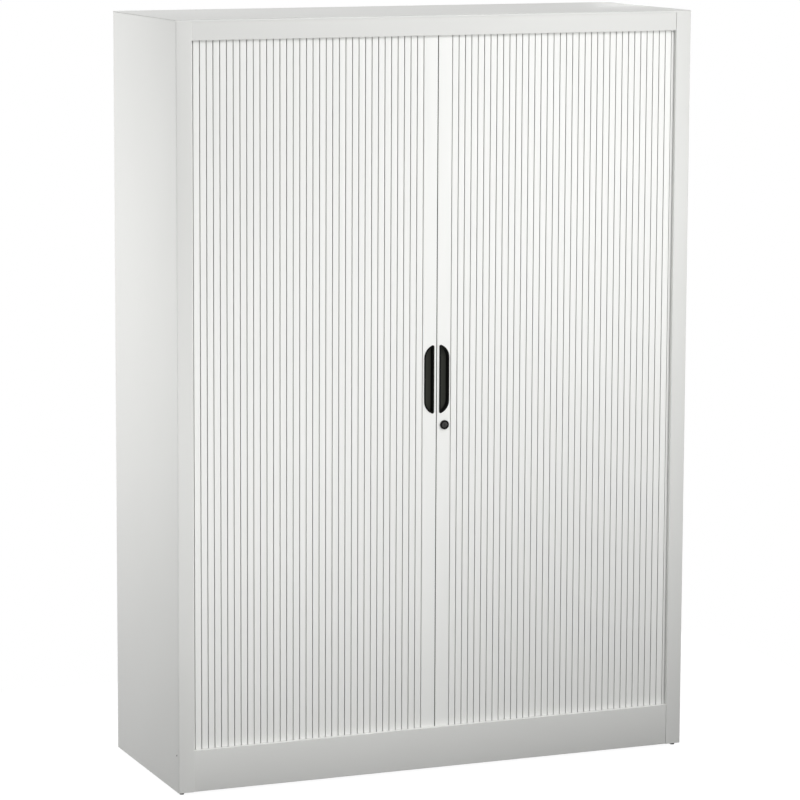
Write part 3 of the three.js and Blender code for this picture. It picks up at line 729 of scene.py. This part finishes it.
def top_cap():
    """The cap and the fascia in one sheet: rolled over at the front into a short lip, set back
    below it between the stiles, and turned in above the curtains. The rear is turned down."""
    lip = HEIGHT - CAP_LIP
    made = folded_sheet("top_cap",
        [(-HALF, FRONT, lip), (-HALF, FRONT, HEIGHT), (-HALF, BACK, HEIGHT),
            (-HALF, BACK, HEIGHT - CAP_REAR_LIP)],
        (2 * HALF, 0, 0), (0, -1, 0), [CORNER_BEND, FOLD])
    rear_end = HALF - REAR_FLANGE - SEAM
    slice_at(made, (0, 0, CAP_REAR_CUT), (0, 0, 1))
    for x in (-rear_end, RAIL_LEFT, RAIL_RIGHT, rear_end):
        slice_at(made, (x, 0, 0), (1, 0, 0))
    pick(made, "FACE", lambda m, f: m.y > BACK - NEAR and m.z < CAP_REAR_CUT
        and abs(m.x) > rear_end)
    bpy.ops.mesh.delete(type="FACE")

    def between_stiles(x):
        return RAIL_LEFT < x < RAIL_RIGHT

    corner = (FASCIA_FACE, lip - LIP_SHOULDER)
    for y, z in (corner, (FASCIA_FACE, OPENING_TOP), (FLANGE_END, OPENING_TOP)):
        pick(made, "EDGE", lambda m, e: e.is_boundary and runs_along(e, X)
            and m.y < FLANGE_END - NEAR and m.z < lip + NEAR and between_stiles(m.x))
        edges = bmesh.from_edit_mesh(made.data).edges
        start = next(v.co for e in edges if e.select for v in e.verts)
        pull((0, y - start.y, z - start.z))
    pick(made, "EDGE", lambda m, e: runs_along(e, X) and close(m.y, FASCIA_FACE)
        and close(m.z, OPENING_TOP))
    fold_edges(FOLD, 3)
    pick(made, "EDGE", lambda m, e: runs_along(e, X) and between_stiles(m.x) and not e.is_boundary
        and (close(m.z, corner[1]) or close(m.z, lip)))
    fold_edges(LIP_BEND, 3)
    clear_selection()
    give_wall(made, CAP_WALL)
    smooth(made)
    return made


def plinth():
    """The plinth front, turned in at the top as a flange and at the bottom as a foot."""
    made = folded_sheet("plinth",
        [(RAIL_LEFT, FLANGE_END, OPENING_BOTTOM), (RAIL_LEFT, RAIL_FACE, OPENING_BOTTOM),
            (RAIL_LEFT, RAIL_FACE, BODY_BOTTOM),
            (RAIL_LEFT, RAIL_FACE + PLINTH_FOOT, BODY_BOTTOM)],
        (RAIL_RIGHT - RAIL_LEFT, 0, 0), (0, 0, 1), [FOLD, FOLD])
    give_wall(made, SHEET)
    smooth(made)
    return made


def painted_light_sill_strip(material):
    """A strip of the slats' lighter plastic on the plinth's flange, in front of the slats: painted
    light, standing for the light that falls on the flange from above.
    """
    made = block("painted_light_sill_strip", (RAIL_LEFT, RAIL_FACE + NEAR, OPENING_BOTTOM + NEAR),
        (RAIL_RIGHT, FLANGE_END, OPENING_BOTTOM + STRIP_WALL))
    pick(made, "EDGE", lambda m, e: runs_along(e, X) and m.y < RAIL_FACE + MM
        and m.z > OPENING_BOTTOM + 2 * NEAR)
    fold_edges(STRIP_WALL / 2, 3)
    clear_selection()
    smooth(made)
    hand_over(made, "cabinet", material, "slat_plastic")


def rear_rivets(name, side, material):
    """A row of flat-headed rivets along one rear flange."""
    row = []
    for height in RIVET_HEIGHTS:
        made = round_bar("rivet", (side * RIVET_X, height), RIVET_RADIUS, BACK,
            BACK + RIVET_PROUD, 20)
        pick(made, "EDGE", lambda m, e: close(m.y, BACK + RIVET_PROUD) and is_sharp(e))
        fold_edges(RIVET_EDGE, 3)
        clear_selection()
        row.append(made)
    made = join_up(f"rear_rivets_{name}", *row)
    smooth(made, 40)
    hand_over(made, "cabinet", material, "zinc_steel")


# Curtains


def slat_strip(name):
    """Seven slats and the webs between them, from the middle outwards on the right-hand side."""
    start = CURTAIN_START
    end = start + SLATS_IN_STRIP * SLAT_PITCH
    made = block(name, (start + SEAM / 2, WEB_FRONT, SLAT_BOTTOM),
        (end - SEAM / 2, SLAT_REAR, SLAT_TOP))
    spans = []
    for number in range(SLATS_IN_STRIP):
        left = start + number * SLAT_PITCH + GROOVE / 2
        right = start + (number + 1) * SLAT_PITCH - GROOVE / 2
        slice_at(made, (left, 0, 0), (1, 0, 0))
        slice_at(made, (right, 0, 0), (1, 0, 0))
        spans.append((left, right))

    def on_slat(x):
        return any(left < x < right for left, right in spans)

    edge_front = SLAT_FRONT + SLAT_CROWN
    pick(made, "FACE", lambda m, f: f.normal.y < -FACING and on_slat(m.x))
    pull((0, edge_front - WEB_FRONT, 0))
    # a shallow crown: the middle of each slat stands a little prouder than its edges
    for left, right in spans:
        for share, _ in CROWN_LINES:
            slice_at(made, (left + share * (right - left), 0, 0), (1, 0, 0))
    for share, rise in CROWN_LINES:
        lines = [left + share * (right - left) for left, right in spans]
        pick(made, "EDGE", lambda m, e, at=lines: runs_along(e, Z) and close(m.y, edge_front)
            and any(close(m.x, x) for x in at))
        bpy.ops.transform.translate(value=(0, -rise * SLAT_CROWN, 0))
    sides = [x for span in spans for x in span]
    pick(made, "EDGE", lambda m, e: runs_along(e, Z) and close(m.y, edge_front)
        and any(close(m.x, x) for x in sides))
    fold_edges(SLAT_EDGE, 3)
    face_outwards(made)
    smooth(made, 50)
    return made


def hang_curtains(material):
    """The strips in front of both curtains, each with a mesh of its own."""
    length_kept = 1 - DOOR_TRAVEL / (CURTAIN_ANCHOR - CURTAIN_START)
    first = slat_strip("curtain_strip_right_1")
    for number in range(1, STRIPS_IN_FRONT + 1):
        shift = ((number - 1) * SLATS_IN_STRIP * SLAT_PITCH, 0, 0)
        right = first if number == 1 else copy_of(first, f"curtain_strip_right_{number}", shift)
        left = copy_of(right, f"curtain_strip_left_{number}", mirror=True)
        smooth(left, 50)
        for name, side, strip in (("right", RIGHT, right), ("left", LEFT, left)):
            hand_over(strip, "cabinet", material, "slat_plastic", f"curtain_{name}_{number}",
                squash={"joint": f"door_{name}_slide", "axis": (1, 0, 0),
                    "anchor": (side * CURTAIN_ANCHOR, 0, 0), "keep": length_kept})


# Handles


def d_block(name, side, inset, y0, y1, corner):
    """A bar with the handle's D section: straight towards the meeting line, swept outwards."""
    flat = side * (CUP_FROM_CENTRE + inset)
    bulge = side * (CUP_FROM_CENTRE + CUP_WIDTH - inset)
    far = side * (CUP_FROM_CENTRE + CUP_WIDTH - 2 * CUP_SWEEP - inset)
    rise = CUP_SWEEP_HEIGHT + CUP_SWEEP - inset
    made = block(name, (min(far, bulge), y0, CUP_CENTRE_HEIGHT - rise),
        (max(far, bulge), y1, CUP_CENTRE_HEIGHT + rise))
    pick(made, "EDGE", lambda m, e: runs_along(e, Y) and close(m.x, bulge))
    fold_edges(CUP_SWEEP - inset, 8)
    slice_at(made, (flat, 0, 0), (-side, 0, 0), drop_outer=True)
    pick(made, "EDGE", lambda m, e: runs_along(e, Y) and close(m.x, flat))
    fold_edges(TIP_REACH * corner, 4)
    face_outwards(made)
    return made


def handle_cup(name, side, material):
    """A hollow cup with a flat rim, let into its meeting slat."""
    rim_front = MEETING_FRONT - SEAM - CUP_RIM_WALL
    rim_rear = MEETING_FRONT - SEAM
    made = d_block(f"finger_cup_{name}", side, 0, rim_front, rim_rear, CUP_CORNER)
    pick(made, "FACE", lambda m, f: f.normal.y > FACING)
    bpy.ops.mesh.inset(thickness=CUP_RIM_WIDTH, depth=0)
    pull((0, MEETING_FRONT + CUP_DEPTH - rim_rear, 0))
    face_outwards(made)
    hollow = d_block("hollow", side, CUP_RIM_WIDTH + CUP_WALL, rim_front - CUP_RIM_WALL, CUP_FLOOR,
        CUP_CORNER / 2)
    pick(hollow, "FACE", lambda m, f: f.normal.y > FACING)
    fold_edges(CUP_SCOOP, 6)
    face_outwards(hollow)
    carve(made, hollow)
    pick(made, "EDGE", lambda m, e: close(m.y, rim_front) and is_sharp(e))
    fold_edges(CUP_LIP, 3)
    face_outwards(made)
    smooth(made, 40)
    hand_over(made, f"door_{name}", material, "black_plastic", f"handle_cup_{name}")


def meeting_slat(name, side, material):
    """The wide slat at the head of a curtain, with the window for its cup and the lock's hole."""
    x0, x1 = sorted((side * MEETING_INNER, side * MEETING_OUTER))
    made = block(f"lead_slat_{name}", (x0, MEETING_FRONT, MEETING_BOTTOM),
        (x1, MEETING_REAR, MEETING_TOP))
    for edge, radius in ((MEETING_INNER, MEETING_LIP), (MEETING_OUTER, MEETING_EDGE)):
        pick(made, "EDGE", lambda m, e, x=edge: runs_along(e, Z) and close(m.y, MEETING_FRONT)
            and close(abs(m.x), x))
        fold_edges(radius, 4)
    pick(made, "EDGE", lambda m, e: runs_along(e, Z) and close(m.y, MEETING_REAR))
    fold_edges(MEETING_EDGE / 2, 2)
    clear_selection()
    window = d_block("window", side, CUP_RIM_WIDTH - CUP_WINDOW_ROOM, MEETING_FRONT - SHEET,
        MEETING_FRONT + CUP_DEPTH + CUP_WINDOW_ROOM, CUP_CORNER)
    carve(made, window)
    if side == RIGHT:
        hole = round_bar("hole", (LOCK_X, LOCK_Z), LOCK_BARREL + LOCK_HOLE_ROOM,
            MEETING_FRONT - SHEET, MEETING_REAR + SHEET, 40)
        carve(made, hole)
    smooth(made)
    hand_over(made, f"door_{name}", material, "slat_plastic", f"meeting_slat_{name}")


def closing_seal(material):
    """The dark strip on the left meeting slat that closes the gap to the right one."""
    made = block("closing_seal", (SEAL_LEFT, SEAL_FRONT, MEETING_BOTTOM + SHEET),
        (SEAL_RIGHT, SEAL_REAR, MEETING_TOP - SHEET))
    pick(made, "EDGE", lambda m, e: runs_along(e, Z) and m.x > 0)
    fold_edges(SEAL_EDGE, 2)
    clear_selection()
    smooth(made, 40)
    hand_over(made, "door_left", material, "black_plastic")


# Lock


def lock_case(material):
    """The black rosette and barrel, and the nut that holds them in the slat."""
    centre = (LOCK_X, LOCK_Z)
    rear = MEETING_FRONT - SEAM

    def from_centre(point):
        return (point - Vector((LOCK_X, point.y, LOCK_Z))).length

    case = round_bar("lock_case", centre, LOCK_RADIUS, LOCK_FRONT, rear, 48)
    pick(case, "FACE", lambda m, f: f.normal.y < -FACING)
    bpy.ops.mesh.inset(thickness=LOCK_RADIUS - LOCK_BORE, depth=0)
    pull((0, NUT_REAR - LOCK_FRONT - CASE_FLOOR, 0))
    face_outwards(case)
    pick(case, "FACE", lambda m, f: f.normal.y > FACING and close(m.y, rear))
    bpy.ops.mesh.inset(thickness=LOCK_RADIUS - LOCK_BARREL, depth=0)
    pull((0, NUT_REAR - rear, 0))
    face_outwards(case)
    pick(case, "EDGE", lambda m, e: close(m.y, LOCK_FRONT) and from_centre(m) > LOCK_BARREL)
    fold_edges(CASE_EDGE, 4)
    pick(case, "EDGE", lambda m, e: close(m.y, LOCK_FRONT) and from_centre(m) < LOCK_PLUG + SHEET)
    fold_edges(BORE_EDGE, 2)
    nut = round_bar("nut", centre, NUT_RADIUS, NUT_FRONT, NUT_REAR, 6)
    pick(nut, "FACE", lambda m, f: abs(f.normal.y) > FACING)
    fold_edges(NUT_EDGE, 2)
    clear_selection()
    case = join_up("lock_case", case, nut)
    smooth(case)
    hand_over(case, "door_right", material, "black_plastic", "lock_housing")


def lock_core(material):
    """The plug that the key turns, with its keyway upright when the doors are free."""
    front = LOCK_FRONT + SEAM
    made = round_bar("lock_core", (LOCK_X, LOCK_Z), LOCK_PLUG, front, NUT_REAR, 40)
    pick(made, "EDGE", lambda m, e: close(m.y, front) and is_sharp(e))
    fold_edges(CORE_EDGE, 3)
    clear_selection()
    width, depth, height = KEYWAY
    keyway = block("keyway", (LOCK_X - width / 2, front - SHEET, LOCK_Z - height / 2),
        (LOCK_X + width / 2, front + depth, LOCK_Z + height / 2))
    carve(made, keyway)
    tenon = block("tenon", (LOCK_X - TENON_HALF, NUT_REAR, LOCK_Z - TENON_HALF),
        (LOCK_X + TENON_HALF, NUT_REAR + TENON_LENGTH, LOCK_Z + TENON_HALF))
    made = join_up("lock_core", made, tenon)
    smooth(made)
    hand_over(made, "lock", material, "lock_metal", "lock_plug")


# Feet


def foot(name, body, x, y, material):
    """A black pad on a neck and a stud."""
    clear_selection()
    bpy.ops.mesh.primitive_cylinder_add(vertices=36, radius=FOOT_PAD, depth=FOOT_PAD_HEIGHT,
        location=(x, y, FOOT_PAD_HEIGHT / 2))
    made = settle(bpy.context.active_object, f"levelling_foot_{name}")
    pick(made, "FACE", lambda m, f: f.normal.z > FACING)
    bpy.ops.mesh.inset(thickness=FOOT_PAD - FOOT_NECK, depth=0)
    pull((0, 0, FOOT_NECK_HEIGHT))
    bpy.ops.mesh.inset(thickness=FOOT_NECK - FOOT_STUD, depth=0)
    pull((0, 0, FOOT_STUD_HEIGHT))
    pick(made, "EDGE", lambda m, e: is_sharp(e)
        and any(close(m.z, height) for height in (0, FOOT_PAD_HEIGHT, FOOT_TOP)))
    fold_edges(FOOT_EDGE, 2)
    face_outwards(made)
    smooth(made, 40)
    hand_over(made, body, material, "black_plastic", f"foot_{name}")


def side_plug(name, side, material):
    """The small plug low down on the side, just behind the front corner."""
    clear_selection()
    middle = (side * (HALF + PLUG_PROUD - PLUG_LENGTH / 2), PLUG_Y, PLUG_Z)
    bpy.ops.mesh.primitive_cylinder_add(vertices=24, radius=PLUG_RADIUS, depth=PLUG_LENGTH,
        location=middle, rotation=(0, math.pi / 2, 0))
    made = settle(bpy.context.active_object, f"side_plug_{name}")
    pick(made, "EDGE", lambda m, e: close(abs(m.x), HALF + PLUG_PROUD) and is_sharp(e))
    fold_edges(PLUG_EDGE, 3)
    clear_selection()
    smooth(made, 40)
    hand_over(made, "cabinet", material, "black_plastic")


# Inside


def shelf(number, node, material):
    """A shelf folded down on all four sides."""
    low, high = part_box(node)
    made = block(f"shelf_tray_{number}", low, high)
    pick(made, "FACE", lambda m, f: f.normal.z < -FACING)
    bpy.ops.mesh.delete(type="FACE")
    pick(made, "EDGE", lambda m, e: e.is_manifold)
    fold_edges(SHELF_BEND, 3)
    clear_selection()
    give_wall(made, SHEET)
    smooth(made)
    hand_over(made, "cabinet", material, "body_paint", node)


def dress_node(node, material):
    """Gives a solid that is shown as it is its material."""
    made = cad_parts[node]
    made.data.materials.clear()
    made.data.materials.append(material)


# Everything put together


set_camera()
set_studio()
for name, place, target, power in LAMPS:
    lamp(name, place, target, power)

body_paint = powder_coat()
slats = slat_plastic("light_grey_slat_plastic")
slats_in_front = slat_plastic("light_grey_slat_plastic_with_painted_groove_shade", painted_groove_shade=True)
black = black_plastic("black_moulded_plastic")
black_cup = black_plastic("black_cup_plastic_with_painted_floor_light", hollow=True)
grey_track = track_plastic()
zinc = zinc_plate()
lock_plate = lock_steel()

for name, side in SIDES:
    hand_over(side_sheet(name, side), "cabinet", body_paint, "body_paint", f"side_panel_{name}")
    side_plug(name, side, black)
    handle_cup(name, side, black_cup)
    meeting_slat(name, side, slats)
    dress_node(f"curtain_{name}_6", slats)
    dress_node(f"liner_{name}", body_paint)
    dress_node(f"base_rail_{name}", zinc)
    rear_rivets(name, side, zinc)
    for end in ("lower", "upper"):
        dress_node(f"{end}_track_{name}", grey_track)
        dress_node(f"{end}_glide_{name}", grey_track)
    for end, y in (("front", -FOOT_Y), ("rear", FOOT_Y)):
        foot(f"{end}_{name}", f"{end}_{name}_foot", side * FOOT_X, y, black)
        for number in SHELVES:
            dress_node(f"shelf_clip_{number}_{end}_{name}", zinc)

hand_over(top_cap(), "cabinet", body_paint, "body_paint", "top_panel")
hand_over(plinth(), "cabinet", body_paint, "body_paint", "plinth_front")
hang_curtains(slats_in_front)
closing_seal(black)
painted_light_sill_strip(slats)
lock_case(black)
lock_core(lock_plate)
dress_node("lock_cam", zinc)
dress_node("lock_catch", zinc)
for number in SHELVES:
    shelf(number, f"shelf_{number}", body_paint)
for node in ("back_panel", "base_panel", "inner_top_panel", "rear_liner", "floor_panel"):
    dress_node(node, body_paint)
